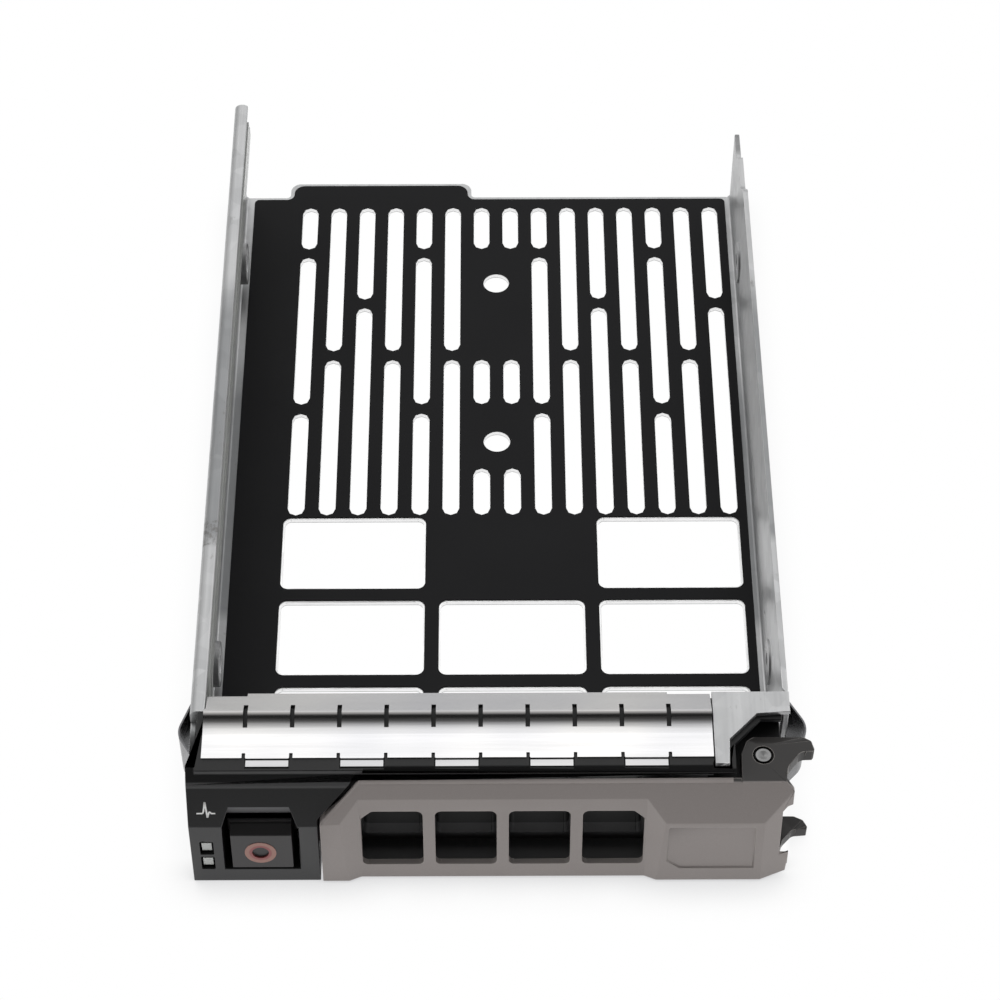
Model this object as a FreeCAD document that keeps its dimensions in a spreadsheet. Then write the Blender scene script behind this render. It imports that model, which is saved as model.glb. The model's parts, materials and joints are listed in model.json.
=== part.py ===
"""Hot swap drive caddy: a folded steel tray for a 3.5 inch drive with a moulded
bezel, a latching lever handle, a release button, two light pipes and a gasket.

Millimetres.  +X to the right seen from the front, +Y towards the connector end,
+Z up.  The origin is on the underside of the tray floor, on the solid land
between its two rear windows, half way between the side walls.
"""
import FreeCAD, Part
import math
import os
import re
from types import SimpleNamespace

V = FreeCAD.Vector
os.makedirs("parts", exist_ok=True)
doc = FreeCAD.newDocument("drive_caddy")

# ---------------------------------------------------------------- driving sizes
SIZES = {
    # folded tray
    "tray_width": 106.1, "sheet_gauge": 1.0, "bend_outside": 1.5, "left_wall_top": 25.6,
    "right_wall_top": 25.3, "flange_width": 2.75, "floor_front": -64.9, "floor_rear": 96.3,
    "wall_front": -53.6, "wall_rear_foot": "=floor_rear + 0.3", "wall_rear_tip": "=floor_rear + 4.6", "wall_lean_top": 16.0,
    "tab_left": -42.55, "tab_right": -3.65, "tab_rear": "=floor_rear + 4.1", "tab_corner": 2.2,
    "step_one_start": "=floor_rear - 21.7", "step_one_end": "=floor_rear - 17.7", "step_one_top": 21.5,
    "step_two_start": "=floor_rear - 8.7", "step_two_end": "=floor_rear - 6.1", "step_two_top": 18.5,
    # corner plate folded in from the top of the right wall
    "plate_under": 25.4, "plate_left": "=tray_width / 2 - 13.7", "plate_rear": -50.3, "plate_front": -54.6,
    "plate_waist": "=tray_width / 2 - 5.9", "plate_strip": 2.5, "plate_strip_start": -60.3, "plate_lip": -65.4,
    "plate_lip_drop": 2.0,
    # vent slots and windows of the floor
    "slot_pitch": 6.1, "slot_columns": 15, "slot_first": -38.05, "slot_width": 3.23,
    "slot_row_start": 9.3, "slot_row_end": "=floor_rear - 3.2", "bridge_first": 22.3, "bridge_pitch": 14.36,
    "bridge_width": 2.36, "pilot_radius": 2.64,
    "window_length": 27.3, "window_depth": 16.8, "window_pitch_across": 30.75,
    "window_pitch_along": 20.2, "window_middle": 4.35, "window_corner": 1.2,
    # insulating film on the floor
    "film_gauge": 0.25, "film_left": "=-tray_width / 2 + 2.85", "film_right": "=tray_width / 2 - 2.25", "film_front": -50.1,
    "film_rear_margin": 0.8, "film_relief": 0.35, "slot_relief": 0.05,
    # drive seat: side screw holes
    "screw_hole_first": -31.0, "screw_hole_spacing": 101.6, "screw_hole_height": 7.85,
    "screw_hole_radius": 1.8, "emboss_radius": 4.3, "emboss_left": 1.9, "emboss_right": 0.4,
    # bezel
    "bezel_foot": -72.9, "face_lean": 6.9, "face_break": 15.1, "shoulder_out": -67.7,
    "shoulder_up": 23.2, "brow_out": -65.4, "bezel_top": 25.8, "block_back": -65.3,
    "neck_width": "=tray_width - 3", "neck_rear": -50.3, "bay_back": -65.0, "bay_left": "=handle_left - 0.4",
    "bay_sill": 1.2, "tongue_front": -71.0, "tongue_right": "=plate_left - 2.85", "lip_front": -66.4,
    "lip_under": 24.0, "vent_low": 3.2, "vent_high": 21.5,
    # lever handle
    "handle_left": "=button_right + 5.1", "handle_right": "=tray_width / 2 + 0.2", "handle_low": 0.3, "handle_foot": -73.3,
    "handle_break": 16.17, "handle_edge_out": -67.94, "handle_edge_up": 23.9,
    "handle_wall": 1.1, "end_wall": 1.5, "handle_back": -66.9, "corner_low": 15.6, "corner_run": 6.98,
    "grille_lean": 8.75, "grille_foot": -72.43, "grille_left": "=handle_left + 6.85", "grille_right": "=opening_left + 3 * opening_pitch + opening_width + 0.34",
    "grille_flare": 2.45, "opening_left": "=grille_left + 0.35", "opening_width": 10.9, "opening_pitch": 13.02,
    "opening_low": 3.8, "opening_high": 17.9, "end_turn": "=tray_width / 2 - 4.75", "end_angle": 22.5,
    "notch_left": "=tray_width / 2 - 1.55", "notch_low": 5.6, "notch_high": 18.5, "low_end": "=tray_width / 2 + 0.15",
    "label_left": "=grille_right + 3.9", "label_right": "=label_left + 15.4", "label_low": 3.9, "label_high": 15.3,
    "label_depth": 0.3, "ear_gauge": 2.8, "lower_ear_gauge": 2.4, "swing_clearance": 0.4, "swing_radius": 9.9,
    # hinge
    "pin_across": "=tray_width / 2 - 5.05", "pin_along": -62.2, "pin_radius": 1.25, "pin_head_radius": "=pin_radius + 0.1",
    "head_sink": 0.9, "pin_fit": 0.05, "washer_radius": "=pin_radius + 0.5", "washer_gauge": 0.3,
    "torsion_wire": 0.7, "torsion_radius": 2.2, "torsion_turns": 3, "torsion_pitch": 1.0,
    # release button
    "button_left": "=-tray_width / 2 + 7.2", "button_right": "=button_left + 10.85", "button_low": 3.75, "button_break": 12.7,
    "button_top": 14.35, "button_back": -63.0, "button_gap": 1.2, "button_travel": 2.0,
    "scoop_top": 18.9, "scoop_back": -68.2, "button_bay_back": -58.5,
    "ring_radius": 2.8, "ring_bore": 1.5, "ring_depth": 0.8, "ring_across": "=button_left + 5.15",
    "ring_height": 8.0, "coil_radius": 1.75, "coil_wire": 0.4, "coil_turns": 3,
    "arm_low": 9.0, "arm_high": 13.0, "catch_left": "=handle_left + 1.9", "catch_gauge": 1.2,
    # light pipes
    "pipe_left": "=-tray_width / 2 + 1.35", "pipe_width": 1.65, "pipe_height": 2.3, "pipe_rear": "=floor_rear + 1",
    "lamp_left": "=-tray_width / 2 + 2", "lamp_width": 1.75, "lamp_low": 4.0, "lamp_pitch": 4.1,
    "pipe_low_run": 18.9, "pipe_pitch": 2.6, "ramp_start": -60.0, "ramp_slope": 42.4,
    "clip_length": 5.0, "clip_first": -20.0, "clip_pitch": 54.0,
    # spring-finger gasket
    "gasket_gauge": 0.2, "gasket_left": "=-tray_width / 2 + 2.7", "gasket_right": "=plate_left - 0.2", "gasket_front": -63.75,
    "gasket_foot": -57.2, "gasket_crest": -55.0, "gasket_crest_up": 27.3, "gasket_rear": -49.2,
    "gasket_rear_up": 24.3, "finger_first": "=gasket_left + 7.4", "finger_pitch": 8.28, "finger_gap": 0.8,
    "finger_slots": 10, "tab_step": 0.35, "tab_gap": 0.62, "foot_sweep": 6.0,
    "crest_bend": 1.0,
    # side springs and screws
    "leaf_gauge": 0.3, "leaf_low": 7.2, "leaf_high": 17.8, "leaf_left_bulge": 2.7,
    "leaf_right_bulge": 4.2, "screw_left": -28.0, "screw_right": 30.4, "screw_along": -55.5,
    "screw_radius": 1.1, "screw_length": 8.0, "screw_head": 2.0,
}
sheet = doc.addObject("Spreadsheet::Sheet", "dims")
for row, (alias, number) in enumerate(SIZES.items(), start=1):
    sheet.set(f"A{row}", alias)
    sheet.setAlias(f"B{row}", alias)
for row, number in enumerate(SIZES.values(), start=1):
    sheet.set(f"B{row}", str(number))
doc.recompute()
d = SimpleNamespace(**{alias: float(sheet.get(alias)) for alias in SIZES})

HALF = d.tray_width / 2
NODES = {}


# ---------------------------------------------------------------- small helpers
def bound(text):
    """Turn an expression in size names into one that reads the spreadsheet."""
    return re.sub(r"[a-z_]+", lambda word: "dims." + word.group(0), str(text))


def tangent(degrees):
    return math.tan(math.radians(degrees))


def new_body(name):
    body = doc.addObject("PartDesign::Body", name)
    body.Label = name
    body.AllowCompound = True
    NODES[name] = body
    return body


def rounded(points):
    """Edges of a closed outline; a third number on a point rounds that corner."""
    corners = []
    count = len(points)
    for index, point in enumerate(points):
        here = V(point[0], point[1], 0)
        before = V(points[index - 1][0], points[index - 1][1], 0)
        after = V(points[(index + 1) % count][0], points[(index + 1) % count][1], 0)
        radius = point[2] if len(point) > 2 else 0
        if not radius:
            corners.append((here, here, None))
            continue
        back = (before - here).normalize()
        ahead = (after - here).normalize()
        half = back.getAngle(ahead) / 2
        arrive = here + back * (radius / math.tan(half))
        leave = here + ahead * (radius / math.tan(half))
        centre = here + (back + ahead).normalize() * (radius / math.sin(half))
        first, last = arrive - centre, leave - centre
        if back.cross(ahead).z > 0:
            first, last = last, first
        arc = Part.ArcOfCircle(Part.Circle(centre, V(0, 0, 1), radius),
                               math.atan2(first.y, first.x), math.atan2(last.y, last.x))
        corners.append((arrive, leave, arc))
    edges = []
    for index, (arrive, leave, arc) in enumerate(corners):
        if arc:
            edges.append(arc)
        following = corners[(index + 1) % count][0]
        if leave.distanceToPoint(following) > 1e-6:
            edges.append(Part.LineSegment(leave, following))
    return edges


def rectangle(low_a, low_b, high_a, high_b, radius=0):
    return rounded([(low_a, low_b, radius), (high_a, low_b, radius),
                    (high_a, high_b, radius), (low_a, high_b, radius)])


def circle(a, b, radius):
    return [Part.Circle(V(a, b, 0), V(0, 0, 1), radius)]


def strip(path, gauge):
    """Outline of a bent strip: the path is one face, the other lies to its left."""
    spots = [V(point[0], point[1], 0) for point in path]
    other = []
    for index, spot in enumerate(spots):
        runs = []
        if index > 0:
            runs.append((spot - spots[index - 1]).normalize())
        if index < len(spots) - 1:
            runs.append((spots[index + 1] - spot).normalize())
        normals = [V(-run.y, run.x, 0) for run in runs]
        mitre = V(0, 0, 0)
        for normal in normals:
            mitre = mitre + normal
        mitre.normalize()
        moved = spot + mitre * (gauge / mitre.dot(normals[0]))
        radius = path[index][2] if len(path[index]) > 2 else 0
        if radius:
            inward = runs[0].cross(runs[1]).z > 0
            radius = radius - gauge if inward else radius + gauge
        other.append((moved.x, moved.y, max(radius, 0)))
    return rounded([tuple(point) for point in path] + other[::-1])


def sketch_on(body, name, plane, level, outlines, turn=None):
    """A sketch on an origin plane of the body, moved to a level along its normal."""
    origin = [item for item in body.Origin.OriginFeatures if item.Role == plane][0]
    sketch = body.newObject("Sketcher::SketchObject", name)
    sketch.AttachmentSupport = [(origin, "")]
    sketch.MapMode = "FlatFace"
    if turn:
        sketch.AttachmentOffset = turn
    else:
        sign = "-" if plane == "XZ_Plane" else ""
        sketch.setExpression("AttachmentOffset.Base.z", bound(f"{sign}({level})"))
    for outline in outlines:
        sketch.addGeometry(outline, False)
    return sketch


def add(body, name, plane, low, high, *outlines):
    """Pad outlines between two levels along the plane's world axis."""
    level = high if plane == "XZ_Plane" else low
    sketch = sketch_on(body, name + "_sketch", plane, level, outlines)
    pad = body.newObject("PartDesign::Pad", name)
    pad.Profile = sketch
    pad.setExpression("Length", bound(f"({high}) - ({low})"))
    doc.recompute()
    return pad


def cut(body, name, plane, low, high, *outlines):
    """Pocket outlines between two levels along the plane's world axis."""
    level = low if plane == "XZ_Plane" else high
    sketch = sketch_on(body, name + "_sketch", plane, level, outlines)
    before = body.Shape.Volume
    pocket = body.newObject("PartDesign::Pocket", name)
    pocket.Profile = sketch
    pocket.setExpression("Length", bound(f"({high}) - ({low})"))
    doc.recompute()
    if body.Shape.Volume > before - 0.01:
        raise RuntimeError(f"{name} removes nothing")
    return pocket


def cut_turned(body, name, plane, turn, length, *outlines):
    """Pocket outlines from a plane placed by hand, against its normal."""
    sketch = sketch_on(body, name + "_sketch", plane, 0, outlines, turn)
    before = body.Shape.Volume
    pocket = body.newObject("PartDesign::Pocket", name)
    pocket.Profile = sketch
    pocket.Length = length
    doc.recompute()
    if body.Shape.Volume > before - 0.01:
        raise RuntimeError(f"{name} removes nothing")
    return pocket


# ---------------------------------------------------------------- floor openings
def bridge(index):
    return d.bridge_first + index * d.bridge_pitch


def slot(across, low, high, relief):
    """A slot whose round ends are cut in four straight facets each."""
    half = d.slot_width / 2 + relief
    corners = []
    for end, first in ((high - d.slot_width / 2, 0), (low + d.slot_width / 2, 180)):
        for step in range(5):
            turn = math.radians(first + 45 * step)
            corners.append((across + half * math.cos(turn), end + half * math.sin(turn)))
    return rounded(corners)


def floor_slots(relief):
    """Columns of slots, each broken by bridges whose rows take turns."""
    outlines = []
    centre = int(d.slot_columns) // 2
    for column in range(int(d.slot_columns)):
        across = d.slot_first + column * d.slot_pitch
        half = d.bridge_width / 2
        if column in (centre - 1, centre):
            spans = [(d.slot_row_start, bridge(0) - half), (bridge(1) + half, bridge(2) - half),
                     (bridge(4) + half, d.slot_row_end)]
        else:
            rows = [2] if column % 2 else [3] if column % 4 else [1, 4]
            if column % 2 == 0 and column % 4 == 2:
                rows = [3]
            stops = [d.slot_row_start]
            for row in rows:
                stops += [bridge(row) - half, bridge(row) + half]
            stops.append(d.slot_row_end)
            spans = list(zip(stops[::2], stops[1::2]))
        outlines += [slot(across, low, high, relief) for low, high in spans]
    middle = d.slot_first + (centre - 0.5) * d.slot_pitch
    outlines.append(circle(middle, (bridge(0) + bridge(1)) / 2 - 1.5, d.pilot_radius + relief))
    outlines.append(circle(middle, (bridge(3) + bridge(4)) / 2 - 1.5, d.pilot_radius + relief))
    return outlines


def floor_windows(relief):
    """Three rows of windows; the land in the middle of the rear row stays solid."""
    outlines = []
    for row in range(3):
        for column in (-1, 0, 1):
            if row == 0 and column == 0:
                continue
            across = d.window_middle + column * d.window_pitch_across
            along = -row * d.window_pitch_along
            wide = d.window_length / 2 + relief
            deep = d.window_depth / 2 + relief
            outlines.append(rectangle(across - wide, along - deep, across + wide, along + deep,
                                      d.window_corner + relief))
    return outlines


def swing_outline(radius):
    """Room for the lever's ears: a disc round the hinge pin, open to the front."""
    return circle(d.pin_across, d.pin_along, radius)


# ---------------------------------------------------------------- tray
def build_tray():
    tray = new_body("tray")
    inner = HALF - d.sheet_gauge
    section = rounded([
        (-HALF, 0, d.bend_outside), (HALF, 0, d.bend_outside),
        (HALF, d.plate_under + d.sheet_gauge), (inner, d.plate_under + d.sheet_gauge),
        (inner, d.sheet_gauge, d.bend_outside - d.sheet_gauge),
        (-inner, d.sheet_gauge, d.bend_outside - d.sheet_gauge),
        (-inner, d.left_wall_top - d.sheet_gauge, d.bend_outside - d.sheet_gauge),
        (-HALF + d.flange_width, d.left_wall_top - d.sheet_gauge),
        (-HALF + d.flange_width, d.left_wall_top), (-HALF, d.left_wall_top, d.bend_outside)])
    add(tray, "section", "XZ_Plane", "floor_front", "wall_rear_tip", section)
    lean = (d.wall_rear_foot, 2.5)
    left_rear = rounded([(d.floor_rear, -1), lean, (d.wall_rear_tip, d.wall_lean_top),
                         (d.wall_rear_tip, 30), (d.wall_rear_tip + 9, 30),
                         (d.wall_rear_tip + 9, -1)])
    right_top = rounded([
        (d.plate_rear, 30), (d.plate_rear, d.plate_under), (d.plate_rear + 1.5, d.right_wall_top),
        (d.step_one_start, d.right_wall_top, 2), (d.step_one_end, d.step_one_top, 2),
        (d.step_two_start, d.step_one_top, 1), (d.step_two_end, d.step_two_top, 1),
        (d.wall_rear_tip - 0.3, d.step_two_top), lean, (d.floor_rear, -1),
        (d.wall_rear_tip + 9, -1), (d.wall_rear_tip + 9, 30)])
    front = rectangle(-70, -1, d.wall_front, 30)
    within = "(tray_width / 2 - sheet_gauge - 0.55)"
    past_flange = "-tray_width / 2 + flange_width + 1.3"
    cut(tray, "left_wall_rear", "YZ_Plane", "-tray_width / 2 - 1", past_flange, left_rear)
    cut(tray, "right_wall_top_line", "YZ_Plane", within, "tray_width / 2 + 1", right_top)
    cut(tray, "left_wall_front", "YZ_Plane", "-tray_width / 2 - 1", "-" + within, front)
    cut(tray, "right_wall_front", "YZ_Plane", within, "tray_width / 2 + 1", front)
    flange_front = rectangle(-70, d.sheet_gauge + 1, d.wall_front, 30)
    cut(tray, "flange_front", "YZ_Plane", "-" + within + " - 0.1", past_flange, flange_front)
    side = HALF - d.bend_outside + 0.05
    beyond = d.wall_rear_tip + 9
    rear_edge = rounded([
        (-side, d.floor_rear), (d.tab_left, d.floor_rear, 0.8),
        (d.tab_left, d.tab_rear, d.tab_corner), (d.tab_right, d.tab_rear, d.tab_corner),
        (d.tab_right, d.floor_rear, 0.8), (side, d.floor_rear), (side, beyond), (-side, beyond)])
    cut(tray, "rear_edge", "XY_Plane", "-1", "sheet_gauge + 0.6", rear_edge)
    flange_corner = rounded([
        (-HALF + 4, beyond), (-HALF + 4, d.floor_rear - 0.3),
        (-HALF + d.flange_width, d.floor_rear + 2.8), (-HALF + 2, d.wall_rear_tip),
        (-HALF + 2, beyond)])
    cut(tray, "flange_corner", "XY_Plane", "20", "30", flange_corner)
    nose = rectangle(d.wall_front - 6.7, d.bend_outside, d.wall_front + 0.5, d.left_wall_top - 3.6)
    add(tray, "left_wall_nose", "YZ_Plane", "-tray_width / 2", "-tray_width / 2 + sheet_gauge", nose)
    cut(tray, "slots", "XY_Plane", "-1", "sheet_gauge + 0.6", *floor_slots(0))
    cut(tray, "windows", "XY_Plane", "-1", "sheet_gauge + 0.6", *floor_windows(0))
    cut(tray, "swing_room", "XY_Plane", "-1", "sheet_gauge + 0.6",
        swing_outline(d.swing_radius))
    add_screw_seats(tray)
    add_corner_plate(tray)
    clip_holes = []
    for index in range(3):
        along = d.clip_first + index * d.clip_pitch
        clip_holes.append(rectangle(along - 1.6, d.pipe_low_run - 0.1, along + 1.6,
                                    d.pipe_low_run + 2.1, 0.1))
    cut(tray, "clip_holes", "YZ_Plane", "-tray_width / 2 - 1", "-" + within, *clip_holes)
    slits = [rectangle(low, 6.6, low + 9.2, 7.4, 0.35) for low in (-33.4 + 5.6, 9.6)]
    cut(tray, "drive_guide_slits", "YZ_Plane", within, "tray_width / 2 + 1", *slits)
    for name, across in (("left", d.screw_left), ("right", d.screw_right)):
        countersink = tray.newObject("PartDesign::SubtractiveCone", "countersink_" + name)
        countersink.Radius1 = d.screw_head + 0.02
        countersink.Radius2 = d.screw_radius + 0.02
        countersink.Height = d.sheet_gauge
        countersink.Placement = FreeCAD.Placement(V(across, d.screw_along, 0), FreeCAD.Rotation())
    doc.recompute()


def add_screw_seats(tray):
    """Round embosses that bring the wall to the drive's side screw holes."""
    seats = [d.screw_hole_first, d.screw_hole_first + d.screw_hole_spacing]
    height = d.screw_hole_height
    discs = [circle(along, height, d.emboss_radius) for along in seats]
    dents = [circle(along, height, d.emboss_radius - d.sheet_gauge) for along in seats]
    holes = [circle(along, height, d.screw_hole_radius) for along in seats]
    inside = "tray_width / 2 - sheet_gauge"
    outside = "tray_width / 2"
    add(tray, "left_emboss", "YZ_Plane", f"-({inside}) - 0.2", f"-({inside}) + emboss_left", *discs)
    cut(tray, "left_dent", "YZ_Plane", f"-({outside}) - 1", f"-({outside}) + emboss_left", *dents)
    cut(tray, "left_hole", "YZ_Plane", f"-({outside}) - 1", "-45", *holes)
    add(tray, "right_emboss", "YZ_Plane", f"{inside} - emboss_right", f"{inside} + 0.2", *discs)
    cut(tray, "right_dent", "YZ_Plane", f"{outside} - emboss_right", f"{outside} + 1", *dents)
    cut(tray, "right_hole", "YZ_Plane", "45", f"{outside} + 1", *holes)


def add_corner_plate(tray):
    strip_right = d.plate_left + d.plate_strip
    outline = rounded([
        (d.plate_left, d.plate_rear), (d.plate_left, d.plate_lip), (strip_right, d.plate_lip),
        (strip_right + 0.25, d.plate_strip_start), (d.plate_waist, d.plate_front - 0.4),
        (HALF, d.plate_front), (HALF, d.plate_rear)])
    add(tray, "corner_plate", "XY_Plane", "plate_under", "plate_under + sheet_gauge", outline)
    lip = rectangle(d.plate_left, d.plate_lip, strip_right, d.plate_lip + d.sheet_gauge)
    add(tray, "corner_plate_lip", "XY_Plane", "plate_under - plate_lip_drop",
        "plate_under + 0.1", lip)


# ---------------------------------------------------------------- film
def build_film():
    film = new_body("floor_film")
    rear = d.floor_rear - d.film_rear_margin
    tab_rear = d.tab_rear - d.film_rear_margin
    left = d.tab_left + d.film_rear_margin
    right = d.tab_right - d.film_rear_margin
    outline = rounded([
        (d.film_left, d.film_front, 1), (d.film_right, d.film_front, 1),
        (d.film_right, rear, 1), (right, rear, 1.6), (right, tab_rear, d.tab_corner),
        (left, tab_rear, d.tab_corner), (left, rear, 1.6), (d.film_left, rear, 1)])
    add(film, "film_sheet", "XY_Plane", "sheet_gauge", "sheet_gauge + film_gauge", outline)
    cut(film, "film_slots", "XY_Plane", "sheet_gauge - 1", "sheet_gauge + 1",
        *floor_slots(d.slot_relief))
    cut(film, "film_windows", "XY_Plane", "sheet_gauge - 1", "sheet_gauge + 1",
        *floor_windows(d.film_relief))


# ---------------------------------------------------------------- bezel
def opening_edges(index):
    left = d.opening_left + index * d.opening_pitch
    return left, left + d.opening_width


def build_bezel():
    bezel = new_body("bezel")
    lean = tangent(d.face_lean)
    block = rounded([
        (d.bezel_foot, 0), (d.bezel_foot + lean * d.face_break, d.face_break),
        (d.shoulder_out, d.shoulder_up), (d.brow_out, d.bezel_top),
        (d.block_back, d.bezel_top), (d.block_back, 0)])
    add(bezel, "front_block", "YZ_Plane", "-tray_width / 2", "tray_width / 2", block)
    neck = rectangle(-d.neck_width / 2, d.block_back - 1, d.neck_width / 2, d.neck_rear)
    add(bezel, "neck", "XY_Plane", "sheet_gauge", "bezel_top", neck)
    slope = (d.gasket_crest_up - d.gasket_gauge - d.gasket_rear_up) / (d.gasket_rear - d.gasket_crest)
    start = d.gasket_rear - (d.bezel_top - d.gasket_rear_up) / slope - 0.9
    rear_slope = rounded([
        (start, d.bezel_top), (start + 6, d.bezel_top - 6 * slope), (start + 6, 30), (start, 30)])
    cut(bezel, "rear_slope", "YZ_Plane", "-tray_width / 2", "tray_width / 2", rear_slope)
    flange_notch = rectangle(-HALF - 7, d.wall_front - 0.3, -HALF + d.flange_width + 0.3,
                             d.neck_rear + 1)
    cut(bezel, "flange_notch", "XY_Plane", "left_wall_top - sheet_gauge - 0.2", "30", flange_notch)
    cut_handle_bay(bezel)
    cut_pivot_bay(bezel)
    cut_button_bay(bezel)
    cut_lamp_ways(bezel)
    tops = [rectangle(left, d.gasket_front - 2, left + d.finger_pitch - d.tab_gap,
                      d.gasket_front + 0.2) for left in gasket_tabs()]
    cut(bezel, "gasket_tab_seats", "XY_Plane", "bezel_top - tab_step", "bezel_top + 2", *tops)
    pilots = [circle(across, d.screw_along, d.screw_radius)
              for across in (d.screw_left, d.screw_right)]
    cut(bezel, "screw_pilots", "XY_Plane", "0", "sheet_gauge + screw_length", *pilots)


def cut_handle_bay(bezel):
    """The bay behind the lever: sloped at the left like the lever's own corner."""
    slope = (d.handle_edge_up - d.corner_low) / d.corner_run
    gap = d.handle_left - d.bay_left
    corner = d.corner_low + gap + 0.35
    top_run = (30 - corner) / slope
    face = [(d.bay_left, corner), (d.bay_left + top_run, 30), (HALF + 7, 30)]
    under = d.bay_left + (d.lip_under - corner) / slope
    cut(bezel, "bay_front", "XZ_Plane", "-76", "tongue_front",
        rounded([(d.bay_left, -1)] + face + [(HALF + 7, -1)]))
    cut(bezel, "bay_middle", "XZ_Plane", "-76", "lip_front",
        rounded([(d.bay_left, d.bay_sill)] + face + [(HALF + 7, d.bay_sill)]))
    cut(bezel, "bay_under_lip", "XZ_Plane", "lip_front - 1", "bay_back",
        rounded([(d.bay_left, d.bay_sill), (d.bay_left, corner), (under, d.lip_under),
                 (HALF + 7, d.lip_under), (HALF + 7, d.bay_sill)]))
    cut(bezel, "tongue_end", "XY_Plane", "-1", "bay_sill + 0.1",
        rectangle(d.tongue_right, -76, HALF + 7, d.bay_back),
        rectangle(d.bay_left, -76, d.handle_left + d.end_wall + 0.4, d.bay_back))
    lip_slope = rounded([(d.lip_front - 1, 30), (d.lip_front - 1, d.bezel_top - 2),
                         (d.lip_front + 1, d.bezel_top), (d.lip_front + 1, 30)])
    cut(bezel, "lip_edge", "YZ_Plane", "-22", "tray_width / 2 + 1", lip_slope)
    vents = []
    for index in range(4):
        left, right = opening_edges(index)
        vents.append(rectangle(left, d.vent_low, right, d.vent_high, 1))
    cut(bezel, "vents", "XZ_Plane", "bay_back - 1", "neck_rear + 1", *vents)


def cut_pivot_bay(bezel):
    """Room for the two ears above and below the block that carries the pin."""
    ear_top = d.handle_edge_up + 0.1
    disc = swing_outline(d.swing_radius)
    cut(bezel, "lower_ear_room", "XY_Plane", "-1",
        "handle_low + 0.2 + lower_ear_gauge + swing_clearance", disc)
    cut(bezel, "upper_ear_room", "XY_Plane",
        "handle_edge_up + 0.1 - ear_gauge - swing_clearance",
        "handle_edge_up + 0.1 + swing_clearance", disc)
    strip_right = d.plate_left + d.plate_strip
    skin = rounded([
        (strip_right + 1.2, -70), (strip_right + 1.2, d.plate_strip_start - 0.5),
        (d.plate_waist + 0.6, d.plate_front - 1), (HALF + 7, d.plate_front - 1), (HALF + 7, -70)])
    cut(bezel, "skin_over_ear", "XY_Plane", "handle_edge_up - 0.5", "30", skin)
    plate_seat = rectangle(d.plate_left - 0.2, -70, HALF + 7, d.neck_rear + 1)
    cut(bezel, "plate_seat", "XY_Plane", "plate_under", "30", plate_seat)
    lip_slot = rectangle(d.plate_left - 0.3, d.plate_lip - 0.3, strip_right + 0.3,
                         d.plate_lip + d.sheet_gauge + 0.3)
    cut(bezel, "lip_slot", "XY_Plane", "plate_under - plate_lip_drop - 0.3", "30", lip_slot)
    core = rectangle(d.screw_right + 3.2, d.bay_back + 2, d.pin_across - 7, d.neck_rear - 2, 1)
    cut(bezel, "core_out", "XY_Plane", "-1", "vent_high", core)
    bore = circle(d.pin_across, d.pin_along, d.pin_radius)
    cut(bezel, "pin_bore", "XY_Plane", "-1", "30", bore)
    coil_room = circle(d.pin_across, d.pin_along, d.torsion_radius + d.torsion_wire / 2 + 0.6)
    leg = d.pin_across - d.torsion_radius
    leg_room = rectangle(leg - 0.9, d.bay_back - 3, leg + 0.9, d.pin_along + 7)
    cut(bezel, "torsion_room", "XY_Plane", "1", "8.2", coil_room)
    cut(bezel, "torsion_leg_room", "XY_Plane", "1", "8.2", leg_room)


def cut_button_bay(bezel):
    left = d.button_left - d.button_gap - 0.2
    right = d.button_right + d.button_gap
    low = d.button_low - 0.35
    deep_top = d.button_top + 0.8
    mouth = rounded([
        (left, low), (right, low), (right, deep_top - 0.4), (right - 1.4, d.scoop_top),
        (left + 1.4, d.scoop_top), (left, deep_top - 0.4)])
    cut(bezel, "button_mouth", "XZ_Plane", "-76", "scoop_back", mouth)
    cut(bezel, "button_room", "XZ_Plane", "scoop_back - 1", "button_bay_back",
        rectangle(left, low, right, deep_top))
    arm_room = rectangle(right - 1, d.arm_low - 0.5, d.catch_left + d.catch_gauge + 0.6,
                         d.arm_high + 0.5)
    cut(bezel, "arm_room", "XZ_Plane", "bay_back - 0.1", "button_back + 2.6", arm_room)


def cut_lamp_ways(bezel):
    """Sockets for the two lamp windows, and the channel the light pipes run in."""
    sockets = []
    for index in range(2):
        low = d.lamp_low + index * d.lamp_pitch
        sockets.append(rectangle(d.lamp_left - 0.35, low - 0.65, d.lamp_left + d.lamp_width + 0.35,
                                 low + d.pipe_height + 0.6, 0.3))
    cut(bezel, "lamp_sockets", "XZ_Plane", "-76", "block_back + 0.5", *sockets)
    channel = rectangle(-HALF - 7, 3.5, d.lamp_left + d.lamp_width + 0.35, d.left_wall_top - 1)
    cut(bezel, "pipe_channel", "XZ_Plane", "block_back + 0.4", "neck_rear + 1", channel)


# ---------------------------------------------------------------- lever handle
def build_handle():
    handle = new_body("handle")
    outer = [(d.handle_foot, d.handle_low),
             (d.handle_foot + tangent(d.face_lean) * (d.handle_break - d.handle_low),
              d.handle_break),
             (d.handle_edge_out, d.handle_edge_up)]
    profile = rounded(outer + [(d.handle_back, d.handle_edge_up), (d.handle_back, d.handle_low)])
    add(handle, "envelope", "YZ_Plane", "handle_left", "handle_right", profile)
    cavity = rounded(inner_profile())
    cut(handle, "hollow_back", "YZ_Plane", "handle_left + end_wall", "handle_right + 1", cavity)
    add_ears(handle)
    outside = rounded([(-90, -5), (outer[0][0] - 0.61, -4.74)] + outer[:]
                      + [(d.handle_edge_out + 2.67, d.handle_edge_up + 6), (-90, 35)])
    cut(handle, "ear_fronts", "YZ_Plane", "handle_left - 1", "handle_right + 6", outside)
    cut_front(handle)


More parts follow.
